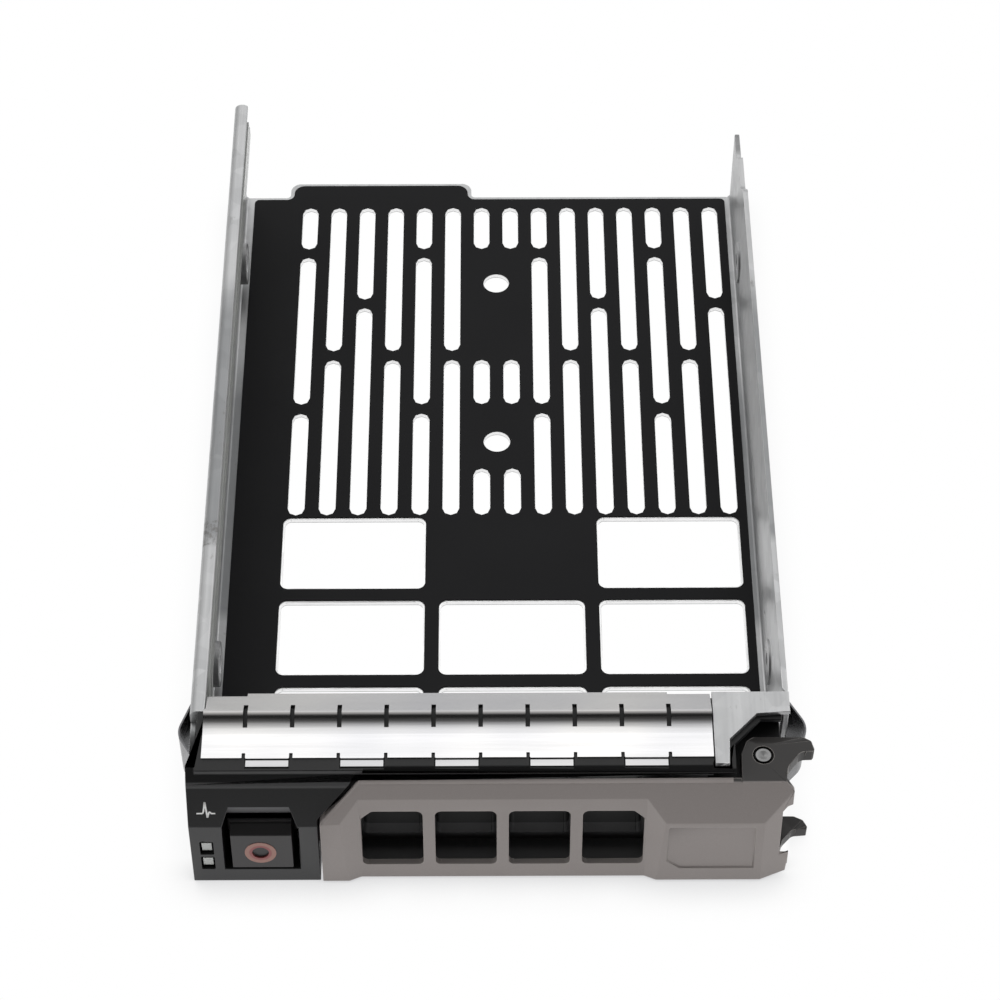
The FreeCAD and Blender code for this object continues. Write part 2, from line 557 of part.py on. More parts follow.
def inner_profile():
    """Back of the thin front wall, as the outline of the hollow behind it."""
    grille = tangent(d.grille_lean)
    thick = d.handle_wall / math.cos(math.radians(d.grille_lean))
    start = d.grille_foot + thick
    rise = d.handle_edge_up - d.handle_break
    foot_y = d.handle_foot + tangent(d.face_lean) * (d.handle_break - d.handle_low)
    run = d.handle_edge_out - foot_y
    length = math.hypot(run, rise)
    slant_y = foot_y + d.handle_wall * rise / length
    slant_z = d.handle_break - d.handle_wall * run / length
    slope = run / rise
    meet = (slant_y - slope * slant_z - start + grille * d.handle_low) / (grille - slope)
    return [(start - grille * 2, d.handle_low - 2), (start + grille * (meet - d.handle_low), meet),
            (slant_y + slope * (30 - slant_z), 30), (-40, 30), (-40, d.handle_low - 2)]


def add_ears(handle):
    """Two flat ears on the hinge pin, each drawn out into a hook at the side."""
    x, y = d.pin_across, d.pin_along
    root = [(x - 4.1, y - 10.4), (x - 3.9, y + 0.4), (x - 2.8, y + 2.9, 1.5),
            (x - 1.6, y + 3.75, 1)]
    upper = rounded(root + [
        (x + 7.3, y + 3.7, 1.2), (x + 8.6, y + 2.9, 0.8), (x + 9.1, y + 1.2),
        (x + 8.7, y + 0.75, 0.2), (x + 6.6, y + 0.7, 2.0), (x + 4.2, y - 2.4, 3.0),
        (x + 3.7, y - 6), (x + 3.7, y - 10.4)])
    lower = rounded(root + [
        (x + 1.5, y + 3.75, 1.5), (x + 4.2, y + 0.6, 1), (x + 7.0, y + 0.6, 1.2),
        (x + 8.6, y - 0.2, 0.8), (x + 9.3, y - 1.6, 0.3), (x + 9.2, y - 2.1),
        (x + 6.6, y - 2.2, 1.5), (x + 4.6, y - 4.4, 2), (x + 3.9, y - 7), (x + 3.9, y - 10.4)])
    bore = circle(x, y, d.pin_radius + d.pin_fit)
    add(handle, "lower_ear", "XY_Plane", "handle_low + 0.2",
        "handle_low + 0.2 + lower_ear_gauge", lower)
    add(handle, "upper_ear", "XY_Plane", "handle_edge_up + 0.1 - ear_gauge",
        "handle_edge_up + 0.1", upper)
    cut(handle, "ear_bores", "XY_Plane", "-1", "30", bore)
    cut(handle, "head_seat", "XY_Plane", "handle_edge_up + 0.1 - head_sink", "30",
        circle(x, y, d.washer_radius + 0.1))


def cut_front(handle):
    grille = math.radians(d.grille_lean)
    reach = 30
    place = FreeCAD.Placement(
        V(0, d.grille_foot + reach * math.sin(grille), d.handle_low + reach * math.cos(grille)),
        FreeCAD.Rotation(V(1, 0, 0), -d.grille_lean))
    deep = 3
    recess = rounded([(d.grille_left, 0), (d.grille_right, 0),
                      (d.grille_right + deep * d.grille_flare, -deep),
                      (d.grille_left - deep * d.grille_flare, -deep)])
    cut_turned(handle, "grille_recess", "XY_Plane", place, 40, recess)
    face = math.radians(d.face_lean)
    place = FreeCAD.Placement(
        V(0, d.handle_foot + reach * math.sin(face), d.handle_low + reach * math.cos(face)),
        FreeCAD.Rotation(V(1, 0, 0), -d.face_lean))
    far = 12
    end = rounded([(d.end_turn, 0), (d.end_turn + far, far * tangent(d.end_angle)),
                   (d.end_turn + far, -8), (d.end_turn, -8)])
    cut_turned(handle, "end_facet", "XY_Plane", place, 40, end)
    openings = []
    for index in range(4):
        left, right = opening_edges(index)
        low, high = d.opening_low, d.opening_high
        clip_left = 1.9 if index == 0 else 0
        clip_right = 1.9 if index == 3 else 0
        outline = [(left, low, 1), (right, low, 1)]
        outline += [(right, high - clip_right, 0.8), (right - clip_right, high, 0.8)] \
            if clip_right else [(right, high, 1.2)]
        outline += [(left + clip_left, high, 0.8), (left, high - clip_left, 0.8)] \
            if clip_left else [(left, high, 1.2)]
        openings.append(rounded(outline))
    cut(handle, "openings", "XZ_Plane", "-76", "-66", *openings)
    slope = (d.handle_edge_up - d.corner_low) / d.corner_run
    corner = rounded([(d.handle_left - 1, d.corner_low - slope),
                      (d.handle_left + 10, d.corner_low + 10 * slope),
                      (d.handle_left - 1, d.corner_low + 10 * slope)])
    cut(handle, "sloped_corner", "XZ_Plane", "-76", "-60", corner)
    top_corner = rounded([
        (d.handle_right - 2, d.handle_edge_up + 0.75), (d.handle_right + 0.7, d.handle_edge_up - 2.75),
        (d.handle_right + 4, d.handle_edge_up - 2.75), (d.handle_right + 4, d.handle_edge_up + 0.75)])
    cut(handle, "top_corner", "XZ_Plane", "-76", "handle_back + 1", top_corner)
    notch = rounded([(d.notch_left, d.notch_low), (d.low_end, d.notch_low),
                     (d.low_end, d.handle_low - 1), (d.handle_right + 1, d.handle_low - 1),
                     (d.handle_right + 1, d.notch_high), (d.notch_left + 0.8, d.notch_high),
                     (d.notch_left, d.notch_high - 1)])
    cut(handle, "end_notch", "XZ_Plane", "-76", "pin_along - 4.3", notch)
    rise = (d.label_high - d.label_low)
    place = FreeCAD.Placement(
        V(0, d.handle_low, -(d.handle_foot - 1 * math.cos(face))),
        FreeCAD.Rotation(V(1, 0, 0), -d.face_lean))
    low = (d.label_low - d.handle_low) / math.cos(face)
    label = rounded([
        (d.label_left + 2.4, low), (d.label_right, low), (d.label_right, low + rise, 0.5),
        (d.label_left, low + rise, 0.5), (d.label_left, low + 1.9)])
    cut_turned(handle, "label_seat", "XZ_Plane", place, 1 + d.label_depth, label)
    add(handle, "latch_tongue", "XZ_Plane", "-70.2", "handle_back - 0.3",
        rectangle(d.catch_left + d.catch_gauge + 0.4, d.arm_low,
                  d.catch_left + d.catch_gauge + 2.0, d.arm_high))


# ---------------------------------------------------------------- hinge
def build_hinge():
    pin = new_body("hinge_pin")
    ear_top = d.handle_edge_up + 0.1
    washer_low = "handle_edge_up + 0.1 - head_sink"
    seat = circle(d.pin_across, d.pin_along, d.pin_radius)
    add(pin, "shank", "XY_Plane", "handle_low + 0.2", washer_low + " + washer_gauge", seat)
    head = circle(d.pin_across, d.pin_along, d.pin_head_radius)
    add(pin, "head", "XY_Plane", washer_low + " + washer_gauge", "handle_edge_up + 0.1", head)
    dimple = pin.newObject("PartDesign::SubtractiveCone", "head_dimple")
    dimple.Radius1 = 0.05
    dimple.Radius2 = 0.9
    dimple.Height = 0.25
    dimple.Placement = FreeCAD.Placement(
        V(d.pin_across, d.pin_along, ear_top - 0.25), FreeCAD.Rotation())
    washer = new_body("hinge_washer")
    add(washer, "washer_disc", "XY_Plane", washer_low, washer_low + " + washer_gauge",
        circle(d.pin_across, d.pin_along, d.washer_radius),
        circle(d.pin_across, d.pin_along, d.pin_radius + 0.03))
    coil = d.torsion_radius
    low = d.handle_low + d.lower_ear_gauge + 1.2
    path = coil_path(coil, d.torsion_pitch, d.torsion_turns, 6.0, 7.2)
    place = FreeCAD.Placement(V(d.pin_across, d.pin_along, low), FreeCAD.Rotation(V(0, 0, 1), 180))
    wire_part("handle_spring", path, d.torsion_wire / 2, place)


def coil_path(radius, pitch, turns, first_leg, last_leg):
    """A helix about Z with a straight leg running off each end along its tangent."""
    helix = Part.makeHelix(pitch, pitch * turns, radius)
    climb = pitch / (2 * math.pi)
    run = V(0, radius, climb).normalize()
    start = V(radius, 0, 0)
    end = V(radius, 0, pitch * turns)
    edges = []
    if first_leg:
        edges.append(Part.makeLine(start - run * first_leg, start))
    edges += helix.Edges
    if last_leg:
        edges.append(Part.makeLine(end, end + run * last_leg))
    return Part.Wire(edges), edges[0].firstVertex().Point, run


def wire_part(name, path, radius, place):
    wire, start, run = path
    across = run.cross(V(1, 0, 0)).normalize()
    up = run.cross(across)
    ring = [start + (across * math.cos(turn) + up * math.sin(turn)) * radius
            for turn in [math.pi / 3 * side for side in range(7)]]
    profile = Part.makePolygon(ring)
    node = doc.addObject("Part::Feature", name)
    node.Shape = wire.makePipeShell([profile], True, True)
    node.Placement = place
    node.Label = name
    NODES[name] = node


# ---------------------------------------------------------------- release button
def build_button():
    button = new_body("release_button")
    lean = tangent(d.face_lean)
    foot = d.bezel_foot + lean * d.button_low
    breast = d.bezel_foot + lean * d.button_break
    back = d.button_back
    profile = rounded([(foot, d.button_low), (breast, d.button_break),
                       (breast + 1.5, d.button_top, 0.3), (back, d.button_top),
                       (back, d.button_low)])
    add(button, "key", "YZ_Plane", "button_left", "button_right", profile)
    ridge = rectangle(breast + 1.9, d.button_top - 0.1, breast + 2.6, d.button_top + 0.35, 0.1)
    add(button, "ridge", "YZ_Plane", "button_left", "button_right", ridge)
    guide = rectangle(-66, 6, back, 10)
    add(button, "guide_left", "YZ_Plane", "button_left - button_gap + 0.15", "button_left + 0.5",
        guide)
    add(button, "guide_right", "YZ_Plane", "button_right - 0.5",
        "button_right + button_gap - 0.35", guide)
    arm = rounded([
        (d.button_right - 1, back - 1.6), (d.catch_left, back - 1.6),
        (d.catch_left, d.handle_back + 0.3), (d.catch_left + d.catch_gauge, d.handle_back + 0.5), (d.catch_left + d.catch_gauge, back + 0.2),
        (d.button_right - 1, back + 0.2)])
    add(button, "catch_arm", "XY_Plane", "arm_low", "arm_high", arm)
    x = (d.button_left + d.button_right) / 2
    add(button, "spring_post", "XZ_Plane", "button_back - 0.2", "button_back + 1.5",
        circle(x, 8.8, 1.2))
    face = FreeCAD.Rotation(V(1, 0, 0), 90 - d.face_lean)
    normal = face.multVec(V(0, 0, 1))
    centre = V(d.ring_across, d.bezel_foot + lean * d.ring_height, d.ring_height)
    seat = button.newObject("PartDesign::SubtractiveCylinder", "ring_seat")
    seat.Radius = d.ring_radius
    seat.Height = d.ring_depth + 1
    seat.Placement = FreeCAD.Placement(centre - normal * d.ring_depth, face)
    core = button.newObject("PartDesign::AdditiveCylinder", "ring_core")
    core.Radius = d.ring_bore
    core.Height = d.ring_depth - 0.25
    core.Placement = FreeCAD.Placement(centre - normal * (d.ring_depth + 0.05), face)
    doc.recompute()
    outer = doc.addObject("Part::Cylinder", "ring_outer")
    outer.setExpression("Radius", bound("ring_radius"))
    outer.setExpression("Height", bound("ring_depth + 0.08"))
    inner = doc.addObject("Part::Cylinder", "ring_inner")
    inner.setExpression("Radius", bound("ring_bore"))
    inner.setExpression("Height", bound("ring_depth + 2"))
    for part in (outer, inner):
        part.Placement = FreeCAD.Placement(centre - normal * d.ring_depth, face)
    ring = doc.addObject("Part::Cut", "button_ring")
    ring.Base = outer
    ring.Tool = inner
    ring.Label = "button_ring"
    NODES["button_ring"] = ring
    length = d.button_bay_back - d.button_back - d.coil_wire - 0.02
    path = coil_path(d.coil_radius, length / d.coil_turns, d.coil_turns, 0, 0)
    place = FreeCAD.Placement(V(x, d.button_back + d.coil_wire / 2 + 0.01, 8.8),
                              FreeCAD.Rotation(V(1, 0, 0), -90))
    wire_part("button_spring", path, d.coil_wire / 2, place)


# ---------------------------------------------------------------- light pipes
def build_light_pipes():
    slope = tangent(d.ramp_slope)
    for index, name in enumerate(("light_pipe_lower", "light_pipe_upper")):
        pipe = new_body(name)
        low = d.lamp_low + index * d.lamp_pitch
        run = d.pipe_low_run + index * d.pipe_pitch
        start = d.ramp_start + (1 - index) * 2.5
        front = d.bezel_foot + tangent(d.face_lean) * (low + d.pipe_height / 2) + 0.35
        path = [(d.block_back + 0.5, low), (start, low, 4), (start + (run - low) / slope, run, 4),
                (d.pipe_rear - index * 1.2, run)]
        add(pipe, name + "_bar", "YZ_Plane", "pipe_left", "pipe_left + pipe_width",
            strip(path, d.pipe_height))
        lamp = rectangle(front, low, d.block_back + 1.5, low + d.pipe_height)
        add(pipe, name + "_lamp", "YZ_Plane", "lamp_left", "lamp_left + lamp_width", lamp)
    for index in range(3):
        clip = new_body(f"light_pipe_clip_{index + 1}")
        along = f"clip_first + {index} * clip_pitch"
        low, high = d.pipe_low_run, d.pipe_low_run + d.pipe_pitch
        back = -HALF + d.sheet_gauge
        grip = d.pipe_left + d.pipe_width - 0.4
        outline = rounded([
            (back, low - 0.8), (grip, low - 0.8), (grip, low), (d.pipe_left, low),
            (d.pipe_left, low + d.pipe_height), (grip, low + d.pipe_height), (grip, high),
            (d.pipe_left, high), (d.pipe_left, high + d.pipe_height),
            (grip, high + d.pipe_height), (grip, high + d.pipe_height + 0.25),
            (back, high + d.pipe_height + 0.25)])
        name = f"clip_{index + 1}"
        add(clip, name + "_saddle", "XZ_Plane", f"{along} - clip_length / 2",
            f"{along} + clip_length / 2", outline)
        snap = rectangle(-HALF + 0.1, low + 0.02, back + 0.1, low + 1.98)
        add(clip, name + "_snap", "XZ_Plane", f"{along} - 1.5", f"{along} + 1.5", snap)


# ---------------------------------------------------------------- gasket
def gasket_tabs():
    """Left edge of each front tab: every second finger has one."""
    first = d.finger_first + d.tab_gap / 2
    return [first + 2 * index * d.finger_pitch for index in range(int(d.finger_slots) // 2)]


def build_gasket():
    gasket = new_body("emi_gasket")
    base = d.bezel_top + 0.02
    path = [(d.gasket_front, base), (d.gasket_foot, base, d.foot_sweep),
            (d.gasket_crest, d.gasket_crest_up - d.gasket_gauge, d.crest_bend),
            (d.gasket_rear, d.gasket_rear_up)]
    add(gasket, "arch", "YZ_Plane", "gasket_left", "gasket_right", strip(path, d.gasket_gauge))
    slots = []
    notches = []
    for index in range(int(d.finger_slots)):
        across = d.finger_first + index * d.finger_pitch
        half = d.finger_gap / 2
        slots.append(rectangle(across - half, d.gasket_foot - 0.3, across + half,
                               d.gasket_crest + 2.2))
        notches.append(rectangle(across - d.tab_gap / 2, d.gasket_front - 2, across + d.tab_gap / 2,
                                 d.gasket_front + 1.0, 0.1))
    for index, left in enumerate(gasket_tabs()):
        step = [(d.gasket_front - 1.6, base - d.tab_step + 0.04),
                (d.gasket_front - 0.2, base - d.tab_step + 0.04), (d.gasket_front, base),
                (d.gasket_front + 0.5, base)]
        add(gasket, f"front_tab_{index}", "YZ_Plane", str(left + 0.1),
            str(left + d.finger_pitch - d.tab_gap - 0.1), strip(step, d.gasket_gauge))
    cut(gasket, "finger_slots_cut", "XY_Plane", "20", "30", *slots)
    cut(gasket, "front_notches", "XY_Plane", "20", "30", *notches)
    steps = [rectangle(d.gasket_left - 1, d.gasket_rear - 0.8, d.finger_first, d.gasket_rear + 2),
             rectangle(d.finger_first + d.finger_pitch * 9, d.gasket_rear - 0.5,
                       d.gasket_right + 1, d.gasket_rear + 2)]
    cut(gasket, "rear_steps", "XY_Plane", "20", "30", *steps)
    corner = rectangle(d.gasket_left - 1, d.wall_front - 0.3, -HALF + d.flange_width + 0.25,
                       d.gasket_rear + 3)
    cut(gasket, "flange_corner", "XY_Plane", "20", "30", corner)


# ---------------------------------------------------------------- side springs, screws
def build_side_springs():
    neck = d.neck_width / 2 + 0.25
    rest = HALF + 0.1
    for name, side, bulge in (("side_spring_left", -1, d.leaf_left_bulge),
                              ("side_spring_right", 1, d.leaf_right_bulge)):
        leaf = new_body(name)
        path = [(side * rest, d.wall_front + 8), (side * (rest + bulge), d.wall_front + 0.6, 4),
                (side * rest, d.wall_front - 3.9, 1.5)]
        if side > 0:
            path += [(neck, d.wall_front - 5.7, 1), (neck, d.wall_front - 8)]
        else:
            path += [(-rest, d.wall_front - 10.7)]
        add(leaf, name + "_leaf", "XY_Plane", "leaf_low", "leaf_high",
            strip(path[::side], d.leaf_gauge))


def build_screws():
    for name, across in (("bezel_screw_left", "screw_left"), ("bezel_screw_right", "screw_right")):
        head = doc.addObject("Part::Cone", name + "_head")
        head.setExpression("Radius1", bound("screw_head"))
        head.setExpression("Radius2", bound("screw_radius"))
        head.setExpression("Height", bound("sheet_gauge"))
        shank = doc.addObject("Part::Cylinder", name + "_shank")
        shank.setExpression("Radius", bound("screw_radius"))
        shank.setExpression("Height", bound("sheet_gauge + screw_length - 1"))
        drive = doc.addObject("Part::Prism", name + "_drive")
        drive.Polygon = 6
        drive.Circumradius = 0.75
        drive.Height = 1.2
        for part in (head, shank, drive):
            part.setExpression("Placement.Base.x", bound(across))
            part.setExpression("Placement.Base.y", bound("screw_along"))
        drive.Placement.Base.z = -0.3
        solid = doc.addObject("Part::Fuse", name + "_solid")
        solid.Base = head
        solid.Tool = shank
        screw = doc.addObject("Part::Cut", name)
        screw.Base = solid
        screw.Tool = drive
        screw.Label = name
        NODES[name] = screw
    doc.recompute()


build_tray()
build_film()
build_bezel()
build_handle()
build_hinge()
build_button()
build_light_pipes()
build_gasket()
build_side_springs()
build_screws()
doc.recompute()

# ---------------------------------------------------------------- checks and export
for item in doc.Objects:
    if "Invalid" in item.State or "Error" in item.State:
        raise RuntimeError(f"{item.Name}: {item.State}")
for name, node in NODES.items():
    shape = node.Shape
    if shape.isNull() or not shape.isValid() or len(shape.Solids) < 1:
        raise RuntimeError(f"{name} has no sound solid")
    box = shape.BoundBox
    print(f"{name:20s} solids {len(shape.Solids)}  volume {shape.Volume:9.1f}"
          f"  X {box.XMin:7.2f} {box.XMax:7.2f}  Y {box.YMin:7.2f} {box.YMax:7.2f}"
          f"  Z {box.ZMin:6.2f} {box.ZMax:6.2f}")
    shape.exportStep(f"parts/{name}.step")
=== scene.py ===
# %% [markdown]
# # A hot swap drive caddy
# The object is a steel tray that carries one disk drive into a server. A plastic front
# holds a latch lever, a release button and two lamps. Every solid piece was drawn to size
# already, so this lesson is about what a drawing leaves out: rounded edges, metal, paint,
# plastic, wear, light and a camera. We start by loading the drawn pieces, which keep
# their places.

# %% Load the drawn pieces
import bpy
import bmesh
import json
import math
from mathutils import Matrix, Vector

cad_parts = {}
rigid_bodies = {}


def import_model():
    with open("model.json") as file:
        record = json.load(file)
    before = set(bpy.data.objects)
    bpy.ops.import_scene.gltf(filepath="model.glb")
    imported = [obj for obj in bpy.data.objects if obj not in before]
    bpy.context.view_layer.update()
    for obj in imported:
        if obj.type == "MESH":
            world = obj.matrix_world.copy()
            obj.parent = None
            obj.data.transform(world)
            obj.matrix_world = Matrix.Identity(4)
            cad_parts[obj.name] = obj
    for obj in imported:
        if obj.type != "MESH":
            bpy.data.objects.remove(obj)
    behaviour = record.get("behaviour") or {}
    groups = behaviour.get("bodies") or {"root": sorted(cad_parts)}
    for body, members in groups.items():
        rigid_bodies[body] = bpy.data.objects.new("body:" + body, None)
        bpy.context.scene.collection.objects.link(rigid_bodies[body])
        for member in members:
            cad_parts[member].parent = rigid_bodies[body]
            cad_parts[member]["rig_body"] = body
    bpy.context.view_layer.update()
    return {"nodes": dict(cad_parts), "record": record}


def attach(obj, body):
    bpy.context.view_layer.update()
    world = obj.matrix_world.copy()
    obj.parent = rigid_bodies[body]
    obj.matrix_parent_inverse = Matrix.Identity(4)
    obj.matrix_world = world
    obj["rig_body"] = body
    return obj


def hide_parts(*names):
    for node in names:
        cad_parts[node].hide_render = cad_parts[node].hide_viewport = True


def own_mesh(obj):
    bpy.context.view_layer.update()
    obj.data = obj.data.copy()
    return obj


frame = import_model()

MM = 0.001
nodes = frame["nodes"]

# %% [markdown]
# ## The camera
# A small product is best seen from some way off through a long lens, so that its sides
# stay nearly parallel. The camera stands in front of the caddy and looks down at it by
# about fifty degrees. A 104 mm lens on a 36 mm sensor gives that narrow view.

# %% Place the camera
CAMERA_PLACE = (0.000615, -0.340153, 0.448238)
CAMERA_TILT = 38.307
CAMERA_TURN = -0.25

camera_data = bpy.data.cameras.new("camera")
camera_data.lens = 103.785
camera_data.sensor_width = 36.0
camera_data.clip_end = 20.0
camera = bpy.data.objects.new("camera", camera_data)
camera.location = CAMERA_PLACE
camera.rotation_euler = (math.radians(CAMERA_TILT), 0.0, math.radians(CAMERA_TURN))
bpy.context.scene.collection.objects.link(camera)
bpy.context.scene.camera = camera
print("camera height in m:", round(camera.location.z, 3))

# %% [markdown]
# ## A short way to write materials
# A material is a small graph of nodes. Writing each node and link in full takes many
# lines, so this class keeps one material's graph and gives each kind of node a short
# name. Numbers that are the same all over a surface are set on the shader's own sockets.

# %% A helper that builds node graphs
class Graph:
    """One material's node graph, with short calls for the nodes this lesson uses."""

    def __init__(self, name):
        self.material = bpy.data.materials.new(name)
        self.material.use_nodes = True
        self.tree = self.material.node_tree
        self.shader = self.tree.nodes["Principled BSDF"]
        self.output = self.tree.nodes["Material Output"]
        self.place = self.node("ShaderNodeTexCoord").outputs["Object"]

    def node(self, kind, **settings):
        made = self.tree.nodes.new(kind)
        for key, value in settings.items():
            setattr(made, key, value)
        return made

    def join(self, source, target):
        self.tree.links.new(source, target)

    def put(self, socket, value):
        """Set a socket to a number or colour, or link another node's result to it."""
        if isinstance(value, bpy.types.NodeSocket):
            self.join(value, socket)
        else:
            socket.default_value = value

    def stretched(self, scale):
        """Positions in metres, multiplied by a different number along each axis."""
        mapping = self.node("ShaderNodeMapping")
        mapping.inputs["Scale"].default_value = scale
        self.join(self.place, mapping.inputs["Vector"])
        return mapping.outputs["Vector"]

    def noise(self, scale, detail=3.0, roughness=0.5, distortion=0.0):
        made = self.node("ShaderNodeTexNoise")
        self.join(self.stretched(scale), made.inputs["Vector"])
        made.inputs["Scale"].default_value = 1.0
        made.inputs["Detail"].default_value = detail
        made.inputs["Roughness"].default_value = roughness
        made.inputs["Distortion"].default_value = distortion
        return made.outputs["Fac"]

    def cells(self, scale):
        made = self.node("ShaderNodeTexVoronoi")
        self.join(self.stretched(scale), made.inputs["Vector"])
        made.inputs["Scale"].default_value = 1.0
        return made

    def span(self, value, low, high, to_low=0.0, to_high=1.0):
        """Turn the range low..high into to_low..to_high, with nothing outside it."""
        made = self.node("ShaderNodeMapRange")
        self.put(made.inputs["Value"], value)
        for name, number in (("From Min", low), ("From Max", high),
                             ("To Min", to_low), ("To Max", to_high)):
            made.inputs[name].default_value = number
        return made.outputs["Result"]

    def sums(self, operation, *values):
        made = self.node("ShaderNodeMath", operation=operation)
        for socket, value in zip(made.inputs, values):
            self.put(socket, value)
        return made.outputs["Value"]

    def blend(self, share, low, high):
        """A colour between low and high."""
        made = self.node("ShaderNodeMix", data_type="RGBA")
        self.put(made.inputs["Factor"], share)
        for socket, value in ((made.inputs[6], low), (made.inputs[7], high)):
            self.put(socket, value if isinstance(value, bpy.types.NodeSocket)
                     else (*value, 1.0))
        return made.outputs[2]

    def axis(self, letter):
        """The position along one axis, in metres."""
        made = self.node("ShaderNodeSeparateXYZ")
        self.join(self.place, made.inputs["Vector"])
        return made.outputs[letter]

    def inside(self, box, soft=0.0002):
        """1 inside a box given by its two corners in metres, 0 outside it."""
        share = 1.0
        for letter, low, high in zip("XYZ", *box):
            here = self.axis(letter)
            share = self.sums("MULTIPLY", share, self.span(here, low - soft, low))
            share = self.sums("MULTIPLY", share, self.span(here, high + soft, high))
        return share

    def upward(self, low, high):
        """0 on walls, 1 on faces that look up."""
        parts = self.node("ShaderNodeSeparateXYZ")
        self.join(self.node("ShaderNodeNewGeometry").outputs["Normal"], parts.inputs["Vector"])
        return self.span(parts.outputs["Z"], low, high)

    def reach(self, **centre):
        """Distance from a line, given by its place on the two axes across it."""
        squares = []
        for letter, place in centre.items():
            offset = self.sums("SUBTRACT", self.axis(letter), place)
            squares.append(self.sums("MULTIPLY", offset, offset))
        return self.sums("SQRT", self.sums("ADD", *squares))

    def edge(self, radius):
        """How near a corner each point is: 0 on a flat face, 1 on a sharp edge."""
        bevel = self.node("ShaderNodeBevel", samples=6)
        bevel.inputs["Radius"].default_value = radius
        facing = self.node("ShaderNodeNewGeometry")
        product = self.node("ShaderNodeVectorMath", operation="DOT_PRODUCT")
        self.join(bevel.outputs["Normal"], product.inputs[0])
        self.join(facing.outputs["Normal"], product.inputs[1])
        return self.span(self.sums("SUBTRACT", 1.0, product.outputs["Value"]), 0.002, 0.12)

    def bump(self, height, distance, strength=1.0):
        made = self.node("ShaderNodeBump")
        made.inputs["Strength"].default_value = strength
        made.inputs["Distance"].default_value = distance
        self.put(made.inputs["Height"], height)
        self.join(made.outputs["Normal"], self.shader.inputs["Normal"])

    def set(self, **inputs):
        """Set the shader's inputs; a name is written with _ for each space."""
        for name, value in inputs.items():
            if name.endswith("Color") and isinstance(value, tuple):
                value = (*value, 1.0)
            self.put(self.shader.inputs[name.replace("_", " ")], value)
        return self.material


print("graph helper ready")

# %% [markdown]
# ## Places on the tray
# A sheet is not the same all over. One spot is smudged, and the two dished screw seats in
# the left wall are matt. Other places carry painted light and shade: the wall tops are
# painted darker along their middle as painted shade, the rims of the floor openings are
# painted near white as painted light, and the cut edges, most of all on the corner plate,
# are painted pale, partly bare cut steel and partly a painted highlight. Each place is a
# box or a disc in metres, in the tray's own coordinates. The painted light and shade stand
# in for what a few lamps do not give, so they are worth checking again when the light is
# changed.

# %% Name the places on the tray
SMUDGED_SPOT = ((-0.054, -0.0165, 0.024), (-0.049, -0.0110, 0.027))
CORNER_PLATE_CUT_EDGE_AND_HIGHLIGHT = ((0.036, -0.07, 0.020), (0.054, -0.045, 0.028))
FLOOR_RIMS_PAINTED_LIGHT = ((-0.0500, -0.052, 0.0002), (0.0505, 0.0955, 0.00102))
SEAT_PLACES = (-0.031, 0.0706)
SEAT_HEIGHT = 0.00785
SEAT_RADIUS = 0.0033


def painted_shade_middle(graph, cloud):
    """1 along the middle of the wall tops, with a wandering border: the band painted darker as
    painted shade.
    """
    along = graph.sums("ADD", graph.axis("Y"), graph.span(cloud, 0.3, 0.7, -0.003, 0.003))
    middle = graph.sums("MULTIPLY", graph.span(along, -0.0165, -0.0135),
                        graph.span(along, 0.052, 0.040))
    return graph.sums("MULTIPLY", middle, graph.upward(0.5, 0.9))


def matt_seats(graph):
    """1 on the two dished screw seats of the left wall."""
    discs = [graph.span(graph.reach(Y=place, Z=SEAT_HEIGHT), SEAT_RADIUS + 0.0002, SEAT_RADIUS)
             for place in SEAT_PLACES]
    return graph.sums("MULTIPLY", graph.span(graph.axis("X"), -0.0490, -0.0495),
                      graph.sums("ADD", *discs))


print("screw seats:", len(SEAT_PLACES))

# %% [markdown]
# ## Galvanised steel
# The tray is folded from zinc-coated sheet. The coat has faint crystals a few
# millimetres wide, a grain along the roll's direction, fine scratches from handling and
# some grey smudges. A metal's colour is its reflection, so each of these changes the
# colour a little and the roughness more.

